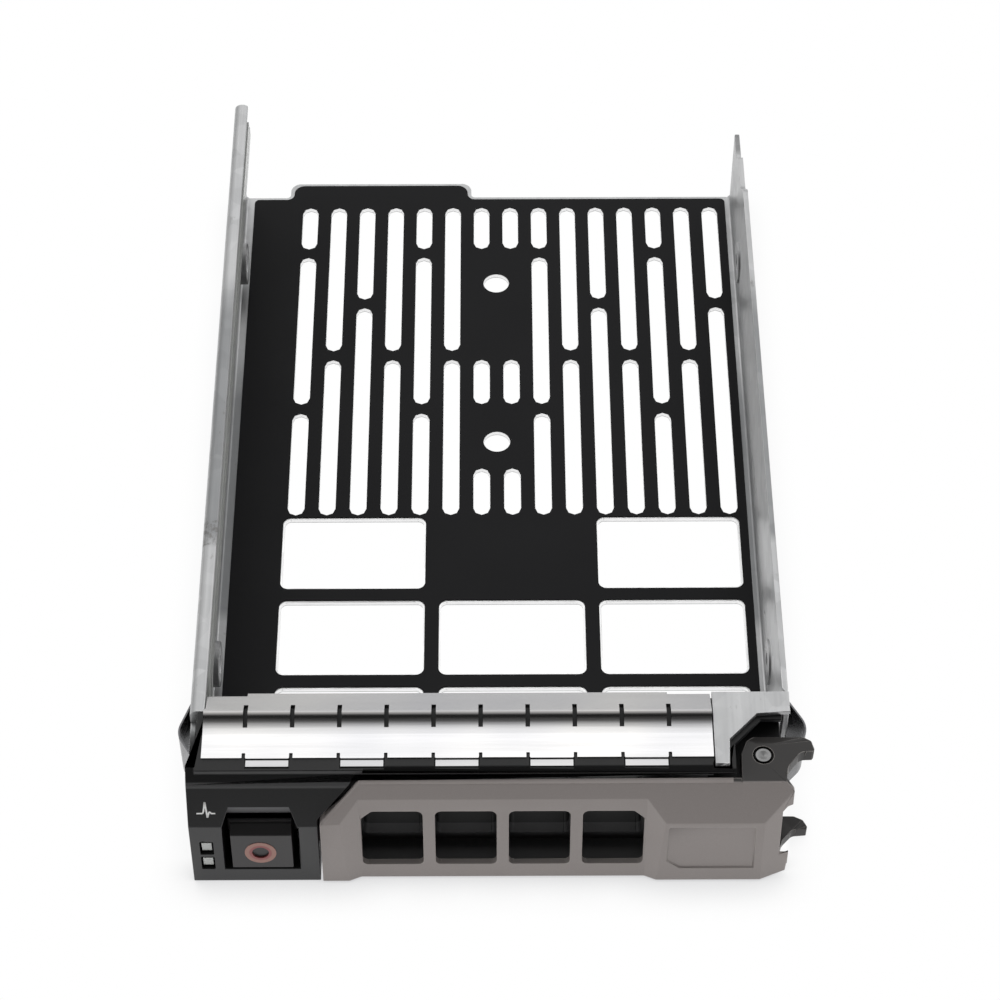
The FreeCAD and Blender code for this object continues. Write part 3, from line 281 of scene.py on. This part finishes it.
# %% Galvanised sheet
def galvanised():
    graph = Graph("galvanised_sheet")
    crystal = graph.cells((300, 300, 300))
    tone = graph.node("ShaderNodeSeparateColor")
    graph.join(crystal.outputs["Color"], tone.inputs["Color"])
    cloud = graph.noise((60, 25, 60), 4.0)
    grain = graph.noise((1800, 40, 1800), 2.0)
    scratch = graph.span(graph.noise((900, 14, 700), 5.0, 0.7, 0.3), 0.60, 0.70)
    smudge = graph.span(graph.noise((420, 160, 420), 5.0, 0.75), 0.64, 0.74)
    blotch = graph.span(graph.noise((900, 900, 900), 4.0, 0.7), 0.45, 0.60)
    smudge = graph.sums("MAXIMUM", smudge,
                        graph.sums("MULTIPLY", graph.inside(SMUDGED_SPOT), blotch))
    base = graph.blend(tone.outputs["Red"], (0.42, 0.425, 0.43), (0.50, 0.505, 0.51))
    base = graph.blend(graph.span(cloud, 0.35, 0.65, 0.0, 0.45), base, (0.55, 0.55, 0.55))
    # Painted shade: the middle of the wall tops is darkened.
    base = graph.blend(graph.sums("MULTIPLY", painted_shade_middle(graph, cloud), 0.85), base,
                       (0.235, 0.24, 0.245))
    base = graph.blend(graph.span(scratch, 0.0, 1.0, 0.0, 0.35), base, (0.66, 0.66, 0.66))
    base = graph.blend(graph.span(smudge, 0.0, 1.0, 0.0, 0.6), base, (0.13, 0.12, 0.11))
    # Cut edges painted pale: partly bare sheared steel, partly a painted highlight, strongest
    # on the corner plate.
    bright = graph.span(graph.inside(CORNER_PLATE_CUT_EDGE_AND_HIGHLIGHT), 0.0, 1.0, 0.25, 0.9)
    base = graph.blend(graph.sums("MULTIPLY", graph.edge(0.00022), bright), base,
                       (0.95, 0.95, 0.95))
    # Painted light: the rims of the floor openings are painted near white.
    base = graph.blend(graph.inside(FLOOR_RIMS_PAINTED_LIGHT, 0.00002), base, (0.93, 0.93, 0.93))
    seats = matt_seats(graph)
    rough = graph.sums("ADD", graph.span(grain, 0.3, 0.7, 0.36, 0.46),
                       graph.span(tone.outputs["Green"], 0.0, 1.0, -0.04, 0.06))
    graph.bump(graph.sums("ADD", grain, graph.sums("MULTIPLY", scratch, -0.6)), 0.000012)
    return graph.set(Base_Color=base,
                     Roughness=graph.sums("ADD", rough, graph.span(seats, 0.0, 1.0, 0.0, 0.3)),
                     Metallic=graph.span(seats, 0.0, 1.0, 0.85, 0.1))


finishes = {"galvanised_sheet": galvanised()}
print("made", list(finishes))

# %% [markdown]
# ## Black film
# The floor carries a thin insulating film: very dark, smooth, with a soft sheen and a
# little dust.

# %% Black film
def film():
    graph = Graph("black_film")
    cloud = graph.noise((45, 45, 45), 3.0)
    fleck = graph.noise((5200, 5200, 5200), 2.0)
    dust = graph.span(graph.noise((2600, 2600, 2600), 3.0, 0.6), 0.72, 0.78)
    base = graph.blend(cloud, (0.0075, 0.0075, 0.0085), (0.0105, 0.0105, 0.0115))
    base = graph.blend(graph.span(dust, 0.0, 1.0, 0.0, 0.06), base, (0.2, 0.2, 0.2))
    graph.bump(fleck, 0.000006)
    return graph.set(Base_Color=base, Roughness=graph.span(cloud, 0.3, 0.7, 0.45, 0.55),
                     Specular_IOR_Level=0.12)


finishes["black_film"] = film()
print("made black_film")

# %% [markdown]
# ## Black plastic
# The front module is moulded plastic with a fine, even grain. Its upright faces are satin
# and its tops are more matt; the tops are also painted darker as painted shade. Its corners
# are painted a little lighter, partly wear and partly a painted highlight, and the long
# shoulder over the lever carries a painted highlight line. Four places get painted light
# of their own, as on the tray: the scoop over the button, the key's top and the lower part
# of the air ways are painted lighter, and the upper part of the air ways is painted darker.

# %% Moulded plastic
SHOULDER_HIGHLIGHT = ((-0.0535, -0.06805, 0.0228), (0.0535, -0.06735, 0.0236))
SCOOP_BACK_PAINTED_LIGHT = ((-0.0475, -0.0684, 0.0150), (-0.0335, -0.0680, 0.0190))
KEY_TOP_PAINTED_LIGHT = ((-0.0460, -0.0692, 0.0142), (-0.0348, -0.0660, 0.0146))
BAY_LOW_PAINTED_LIGHT = ((-0.0235, -0.0711, 0.0005), (0.0285, -0.0630, 0.0085))
BAY_HIGH_PAINTED_SHADE = ((-0.0235, -0.0711, 0.0087), (0.0285, -0.0500, 0.0220))
PALER = 0.06


def moulded(name, dark, light, roughness, shine=0.5, places=()):
    """Moulded plastic: satin upright faces, matt tops painted darker as painted shade, corners
    painted paler by wear and a painted highlight.
    """
    graph = Graph(name)
    cloud = graph.noise((90, 90, 90), 3.0)
    texture = graph.noise((4200, 4200, 4200), 3.0, 0.6)
    top = graph.upward(0.16, 0.34)
    base = graph.blend(cloud, dark, light)
    # Painted shade: faces that look up are painted darker than the upright ones.
    base = graph.blend(top, base, tuple(0.4 * part for part in dark))
    # Painted light and shade by place: the scoop back, the key's top and the low air ways
    # lighter, the high air ways darker.
    for box, shade in places:
        base = graph.blend(graph.inside(box), base, (shade, shade, 1.03 * shade))
    # Corners painted pale, partly wear and partly a painted highlight; the shoulder line is a
    # painted highlight.
    wear_and_highlight = graph.sums("MAXIMUM", graph.sums("MULTIPLY", graph.edge(0.0003), 0.12),
                      graph.sums("MULTIPLY", graph.inside(SHOULDER_HIGHLIGHT), 0.7))
    base = graph.blend(wear_and_highlight, base, tuple(part + PALER for part in light))
    graph.bump(texture, 0.000006, 0.5)
    grain = graph.span(texture, 0.3, 0.7, roughness - 0.04, roughness + 0.05)
    rough = graph.sums("ADD", grain, graph.span(top, 0.0, 1.0, 0.0, 0.2))
    return graph.set(Base_Color=base, Roughness=rough, Specular_IOR_Level=shine)


finishes["black_plastic"] = moulded(
    "black_plastic", (0.020, 0.020, 0.021), (0.027, 0.027, 0.028), 0.36,
    places=((SCOOP_BACK_PAINTED_LIGHT, 0.16), (BAY_LOW_PAINTED_LIGHT, 0.075), (BAY_HIGH_PAINTED_SHADE, 0.006)))
finishes["button_grey"] = moulded("button_grey", (0.024, 0.022, 0.023),
                                  (0.032, 0.029, 0.030), 0.36, places=((KEY_TOP_PAINTED_LIGHT, 0.22),))
finishes["black_washer"] = moulded("black_washer", (0.006, 0.006, 0.006),
                                   (0.009, 0.009, 0.009), 0.45, 0.2)
print("made", list(finishes)[2:])

# %% [markdown]
# ## The lever's paint
# The lever is coated in a warm grey with fine metal flakes. Flakes are tiny mirrors, so
# part of the coat behaves as metal, and its tone wanders over cells far smaller than a
# millimetre. Its corners are painted paler, partly a thinner coat and partly a painted
# highlight. The part that turns round the pin is painted dark, a painted shade on its dim
# tops.

# %% Metallic paint
def flake_paint():
    graph = Graph("lever_grey")
    flake = graph.cells((9000, 9000, 9000))
    split = graph.node("ShaderNodeSeparateColor")
    graph.join(flake.outputs["Color"], split.inputs["Color"])
    cloud = graph.noise((70, 70, 70), 3.0)
    base = graph.blend(split.outputs["Red"], (0.305, 0.275, 0.264), (0.330, 0.298, 0.286))
    base = graph.blend(graph.span(cloud, 0.35, 0.65, 0.0, 0.3), base, (0.300, 0.270, 0.260))
    along = graph.axis("Y")
    knuckle_painted_shade = graph.sums("MULTIPLY", graph.span(graph.axis("X"), 0.0424, 0.0426),
                         graph.span(along, -0.0679, -0.0675))
    hinge_painted_shade = graph.sums("MAXIMUM", graph.span(along, -0.0672, -0.0662), knuckle_painted_shade)
    # Painted shade: the ears and knuckle behind the front are painted dark.
    base = graph.blend(hinge_painted_shade, base, (0.036, 0.034, 0.033))
    # Corners painted paler, partly a thinner coat and partly a painted highlight.
    base = graph.blend(graph.span(graph.edge(0.00022), 0.0, 1.0, 0.0, 0.5), base,
                       (0.56, 0.52, 0.49))
    graph.bump(split.outputs["Green"], 0.000002, 0.3)
    return graph.set(Base_Color=base, Metallic=0.12, Specular_IOR_Level=0.35,
                     Roughness=graph.span(cloud, 0.3, 0.7, 0.40, 0.47))


finishes["lever_grey"] = flake_paint()
print("made lever_grey")

# %% [markdown]
# ## Springs, pin, lamps and the red ring
# The gasket and side springs are thin hard steel, nearly a mirror. The pin is turned
# steel. The light guides are clear plastic that looks milky where it ends at the lamps,
# so a slightly translucent grey is enough. The ring is glossy orange-red.

# %% Bright steel, light guides and the ring
def bright_steel(name, colour, roughness, streak=(30, 900, 900)):
    graph = Graph(name)
    wave = graph.noise((35, 35, 35), 2.0)
    line = graph.noise(streak, 3.0, 0.6)
    base = graph.blend(graph.span(line, 0.4, 0.7, 0.0, 0.35), colour,
                       tuple(0.8 * part for part in colour))
    graph.bump(graph.sums("ADD", graph.sums("MULTIPLY", wave, 4.0), line), 0.00003, 0.5)
    return graph.set(Base_Color=base, Metallic=1.0,
                     Roughness=graph.span(line, 0.3, 0.7, roughness - 0.04, roughness + 0.05))


def gasket_steel():
    """Bright spring steel, with painted shade darkening the bent crest and the front tabs."""
    graph = Graph("gasket_steel")
    wave = graph.noise((35, 35, 35), 2.0)
    line = graph.noise((30, 900, 900), 3.0, 0.6)
    along = graph.axis("Y")
    crest_painted_shade = graph.sums("MULTIPLY", graph.span(along, -0.0568, -0.0560),
                       graph.span(along, -0.0544, -0.0550))
    tabs_painted_shade = graph.span(along, -0.0637, -0.0641)
    base = graph.blend(graph.span(wave, 0.38, 0.62), (0.68, 0.68, 0.70), (0.80, 0.79, 0.78))
    base = graph.blend(graph.span(line, 0.4, 0.7, 0.0, 0.25), base, (0.62, 0.62, 0.62))
    # Painted shade: the crest and the tabs are darkened where the steel mirrors dark
    # surroundings.
    base = graph.blend(graph.sums("MULTIPLY", crest_painted_shade, 0.8), base, (0.20, 0.19, 0.185))
    base = graph.blend(graph.sums("MULTIPLY", tabs_painted_shade, 0.6), base, (0.40, 0.40, 0.41))
    graph.bump(graph.sums("ADD", graph.sums("MULTIPLY", wave, 4.0), line), 0.00003, 0.5)
    return graph.set(Base_Color=base, Metallic=1.0,
                     Roughness=graph.span(line, 0.3, 0.7, 0.19, 0.27))


def light_guide():
    graph = Graph("light_guide")
    cloud = graph.noise((120, 40, 120), 2.0)
    base = graph.blend(cloud, (0.42, 0.43, 0.42), (0.56, 0.57, 0.55))
    graph.bump(cloud, 0.00003, 0.3)
    return graph.set(Base_Color=base, Roughness=0.22, IOR=1.49,
                     Subsurface_Weight=0.25, Subsurface_Radius=(0.002, 0.002, 0.002))


def ring_red():
    graph = Graph("button_red")
    cloud = graph.noise((700, 700, 700), 2.0)
    reach = graph.reach(X=-0.0407, Z=0.0080)
    base = graph.blend(cloud, (0.255, 0.055, 0.055), (0.300, 0.075, 0.070))
    base = graph.blend(graph.span(reach, 0.00185, 0.00215), base, (0.335, 0.165, 0.130))
    return graph.set(Base_Color=base, Roughness=0.34, Coat_Weight=0.2)


finishes["gasket_steel"] = gasket_steel()
finishes["pin_steel"] = bright_steel("pin_steel", (0.24, 0.24, 0.24), 0.36, (900, 900, 30))
finishes["spring_steel"] = bright_steel("spring_steel", (0.5, 0.5, 0.51), 0.3, (900, 900, 30))
finishes["dark_spring_steel"] = bright_steel("dark_spring_steel", (0.13, 0.13, 0.135), 0.26)
finishes["light_guide"] = light_guide()
finishes["button_red"] = ring_red()
print("finishes:", len(finishes))

# %% [markdown]
# ## Hand out the finishes
# The drawing names a finish for every piece. Each drawn piece keeps its mesh and gets the
# material of that name.

# %% Give each drawn piece its finish
slot_of = {part["node"]: part["material_slot"] for part in frame["record"]["subparts"]}
for name, piece in nodes.items():
    piece.data.materials.clear()
    piece.data.materials.append(finishes[slot_of[name]])
print("finished", len(nodes), "pieces")

# %% [markdown]
# ## Softened edges
# Real edges are never perfectly sharp: a moulding has a small radius, and a sheared sheet
# has a slightly rolled edge. These thin rounded lines catch the light and make a piece
# look real. The drawn pieces keep their shape, so for the pieces whose edges show most
# we copy the mesh, join its corners again, merge the flat triangles and run the Bevel
# modifier with a width well under half a millimetre. The copy then stands for the piece.

# %% Soften the edges of the pieces that show most
JOIN_WITHIN = 2e-6
FLAT_BELOW = math.radians(0.6)
SHARP_ABOVE = math.radians(20)


def softened(name, width, shortest=0.0008, turn=9.0, trim=None):
    """A copy of a drawn piece with rounded edges, which stands for it."""
    source = nodes[name]
    mesh = bpy.data.meshes.new(name + "_soft")
    form = bmesh.new()
    form.from_mesh(source.data)
    bmesh.ops.remove_doubles(form, verts=form.verts, dist=JOIN_WITHIN)
    if trim:
        trim(form)
    bmesh.ops.dissolve_limit(form, angle_limit=FLAT_BELOW, verts=form.verts,
                             edges=form.edges, delimit={"NORMAL"})
    weight = form.edges.layers.float.new("bevel_weight_edge")
    for face in form.faces:
        face.smooth = True
    for edge in form.edges:
        bend = edge.calc_face_angle(0.0)
        if bend > math.radians(turn) and edge.calc_length() > shortest:
            edge[weight] = 1.0
        elif bend > SHARP_ABOVE:
            edge.smooth = False
    form.to_mesh(mesh)
    form.free()
    mesh.materials.append(finishes[slot_of[name]])
    piece = bpy.data.objects.new(name + "_soft", mesh)
    bpy.context.scene.collection.objects.link(piece)
    bevel = piece.modifiers.new("bevel", "BEVEL")
    bevel.width = width
    bevel.segments = 2
    bevel.limit_method = "WEIGHT"
    bevel.use_clamp_overlap = False
    even = piece.modifiers.new("even", "WEIGHTED_NORMAL")
    even.weight = 90
    even.keep_sharp = True
    ready = piece.evaluated_get(bpy.context.evaluated_depsgraph_get())
    piece.data = bpy.data.meshes.new_from_object(ready)
    piece.modifiers.clear()
    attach(piece, source["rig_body"])
    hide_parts(name)
    return piece


# %% [markdown]
# ## Shorter wall tips
# The rear tips of the two side walls are drawn a little too long. The tray's copy is a
# good place to end them sooner, each wall at its own length.

# %% Shorten the tips and make the soft copies
LEFT_WALL, LEFT_TIP = -0.0495, 0.0995
RIGHT_WALL, RIGHT_TIP = 0.0514, 0.0974


def shorten_rails(form):
    """The rear tips of the two side walls end square, a little before the drawn ones."""
    for vertex in form.verts:
        if vertex.co.x < LEFT_WALL:
            vertex.co.y = min(vertex.co.y, LEFT_TIP)
        elif vertex.co.x > RIGHT_WALL:
            vertex.co.y = min(vertex.co.y, RIGHT_TIP)


soft_pieces = {"tray": softened("tray", 0.00012, 0.003, 40.0, shorten_rails)}
for name, width in (("handle", 0.0002), ("bezel", 0.00018), ("release_button", 0.00018)):
    soft_pieces[name] = softened(name, width)
    print(name, "faces:", len(soft_pieces[name].data.polygons))

# %% [markdown]
# ## The coil behind the button
# The release button slides 2 mm back and presses a small coil spring, which gets
# shorter. A copy of the drawn coil, with a mesh of its own, stands for the drawn one and
# rides on the same body.


def pressed_coil():
    source = nodes["button_spring"]
    coil = bpy.data.objects.new("button_spring_coil", source.data.copy())
    coil.matrix_world = source.matrix_world.copy()
    bpy.context.scene.collection.objects.link(coil)
    reach = [vertex.co.y for vertex in coil.data.vertices]
    length = max(reach) - min(reach)
    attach(coil, source["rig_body"])
    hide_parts("button_spring")
    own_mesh(coil)
    return length


print("coil length in mm:", round(pressed_coil() / MM, 2))

# %% [markdown]
# ## The activity sign beside the lamps
# A small pale line like a heartbeat is printed over the lamps. It is a thin ribbon that
# lies on the sloping face, 0.02 mm proud of it, so we lay out its zigzag in the plane of
# that face.

# %% Print the activity sign
SIGN_POINTS = [(-1.65, 0.0), (-0.60, 0.0), (-0.42, 0.35), (-0.11, 2.45), (0.24, -0.88),
               (0.55, 0.30), (0.75, 0.34), (0.90, 0.0), (1.65, 0.0)]
SIGN_HALF = 0.15
SIGN_PROUD = 0.02
SIGN_FOOT = Vector((-49.75, -71.07, 15.1))
SIGN_RISE = 2.96


def activity_sign():
    slope = Vector((0, 3.37, 8.1)).normalized()
    outward = Vector((0, -8.1, 3.37)).normalized()
    centre = SIGN_FOOT + slope * SIGN_RISE
    verts, faces = [], []
    for (x0, y0), (x1, y1) in zip(SIGN_POINTS, SIGN_POINTS[1:]):
        run = Vector((x1 - x0, y1 - y0)).normalized()
        side = Vector((-run.y, run.x)) * SIGN_HALF
        start = len(verts)
        for x, y in ((x0 - side.x, y0 - side.y), (x1 - side.x, y1 - side.y),
                     (x1 + side.x, y1 + side.y), (x0 + side.x, y0 + side.y)):
            place = centre + Vector((x, 0, 0)) + slope * y + outward * SIGN_PROUD
            verts.append(place * MM)
        faces.append((start, start + 1, start + 2, start + 3))
    mesh = bpy.data.meshes.new("activity_sign")
    mesh.from_pydata(verts, [], faces)
    graph = Graph("sign_print")
    ink = graph.blend(graph.noise((3000, 3000, 3000), 2.0),
                      (0.84, 0.84, 0.83), (0.95, 0.95, 0.94))
    mesh.materials.append(graph.set(Base_Color=ink, Roughness=0.5))
    sign = bpy.data.objects.new("activity_sign", mesh)
    bpy.context.scene.collection.objects.link(sign)
    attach(sign, "carrier")
    return sign


sign = activity_sign()
print("sign faces:", len(sign.data.polygons))

# %% [markdown]
# ## The floor
# The caddy lies on a white table. The floor is plain white, so it gives off its own light
# and takes no cast shadow. Instead it darkens softly round the tray where the object
# nearly touches it. What metal mirrors of it fades to dark far in front and to the sides.

# %% The floor
def floor_finish():
    graph = Graph("floor_white")
    near = graph.node("ShaderNodeAmbientOcclusion", samples=12)
    near.inputs["Distance"].default_value = 0.009
    across, along = graph.axis("X"), graph.axis("Y")
    outside = graph.sums("MAXIMUM", graph.span(along, -0.066, -0.0725),
                         graph.span(graph.sums("ABSOLUTE", across), 0.0532, 0.0545, 0.0, 0.3))
    closed = graph.sums("MULTIPLY", outside, graph.span(near.outputs["AO"], 0.95, 0.35))
    shade = graph.blend(closed, (1.0, 1.0, 1.0), (0.62, 0.62, 0.63))
    reach = graph.sums("MULTIPLY", graph.span(along, -0.20, -0.115, 0.04, 1.0),
                       graph.span(graph.sums("ABSOLUTE", across), 0.30, 0.16, 0.25, 1.0))
    path = graph.node("ShaderNodeLightPath")
    through = graph.sums("MAXIMUM", path.outputs["Is Camera Ray"],
                         path.outputs["Is Transmission Ray"])
    power = graph.sums("MAXIMUM", graph.sums("MAXIMUM", through, reach),
                       path.outputs["Is Diffuse Ray"])
    glow = graph.node("ShaderNodeEmission")
    graph.join(shade, glow.inputs["Color"])
    graph.join(power, glow.inputs["Strength"])
    graph.join(glow.outputs["Emission"], graph.output.inputs["Surface"])
    return graph.material


FLOOR_HALF = 3.0
FLOOR_HEIGHT = -0.0002
floor_corners = [(across * FLOOR_HALF, along * FLOOR_HALF, FLOOR_HEIGHT)
                 for across, along in ((-1, -1), (1, -1), (1, 1), (-1, 1))]
floor_mesh = bpy.data.meshes.new("floor")
floor_mesh.from_pydata(floor_corners, [], [(0, 1, 2, 3)])
floor_mesh.materials.append(floor_finish())
floor = bpy.data.objects.new("floor", floor_mesh)
bpy.context.scene.collection.objects.link(floor)
print("floor side in m:", 2 * FLOOR_HALF)

# %% [markdown]
# ## The sky
# The sky is a gradient: bright behind and above, dark towards the front, because a studio
# has its large lamp behind the object and a dark room behind the camera. That contrast is
# what makes steel look like steel.

# %% The sky
world = bpy.data.worlds.new("studio")
world.use_nodes = True
bpy.context.scene.world = world
sky = world.node_tree
background = sky.nodes["Background"]
background.inputs["Color"].default_value = (1.0, 1.0, 1.0, 1.0)
heading = sky.nodes.new("ShaderNodeTexCoord")
parts = sky.nodes.new("ShaderNodeSeparateXYZ")
sky.links.new(heading.outputs["Generated"], parts.inputs["Vector"])


def sky_ramp(source, low, high, to_low, to_high):
    ramp = sky.nodes.new("ShaderNodeMapRange")
    for name, number in (("From Min", low), ("From Max", high),
                         ("To Min", to_low), ("To Max", to_high)):
        ramp.inputs[name].default_value = number
    sky.links.new(source, ramp.inputs["Value"])
    return ramp.outputs["Result"]


def sky_math(operation, first, second):
    made = sky.nodes.new("ShaderNodeMath")
    made.operation = operation
    sky.links.new(first, made.inputs[0])
    sky.links.new(second, made.inputs[1])
    return made.outputs["Value"]


behind = sky_ramp(parts.outputs["Y"], -0.30, 0.30, 0.03, 1.0)
rising = sky_ramp(parts.outputs["Z"], 0.0, 0.62, 0.45, 1.12)
glow = sky_math("MULTIPLY", behind, rising)
path = sky.nodes.new("ShaderNodeLightPath")
sky.links.new(sky_math("MAXIMUM", path.outputs["Is Camera Ray"], glow),
              background.inputs["Strength"])
print("sky set")

# %% [markdown]
# ## The lamps
# Four soft lamps fill in what the sky leaves dark. Only the one at the back may be
# mirrored, so that no bright rectangles show in the steel.

# %% The lamps
LAMPS = [
    ("back_softbox", (0.0, 0.62, 0.80), (0.0, 0.0, 0.0), (0.9, 0.45), 0.4, True),
    ("front_fill", (-0.1, -0.80, 0.12), (0.0, -0.05, 0.0), (0.6, 0.2), 1.0, False),
    ("right_fill", (0.8, 0.0, 0.4), (0.0, 0.0, 0.0), (0.4, 0.4), 1.1, False),
    ("left_fill", (-0.8, 0.0, 0.4), (0.0, 0.0, 0.0), (0.4, 0.4), 2.8, False),
]
for name, place, target, size, watts, mirrored in LAMPS:
    lamp_data = bpy.data.lights.new(name, "AREA")
    lamp_data.shape = "RECTANGLE"
    lamp_data.size, lamp_data.size_y = size
    lamp_data.energy = watts
    lamp = bpy.data.objects.new(name, lamp_data)
    lamp.location = place
    aim = Vector(target) - Vector(place)
    lamp.rotation_euler = aim.to_track_quat("-Z", "Y").to_euler()
    lamp.visible_glossy = mirrored
    bpy.context.scene.collection.objects.link(lamp)
print("lamps:", len(LAMPS))

bpy.context.scene.view_settings.view_transform = "Standard"
print("view:", bpy.context.scene.view_settings.view_transform)

# %% [markdown]
# ## The end
# The looks must not change the object's size.

# %% The end
print("scene built")
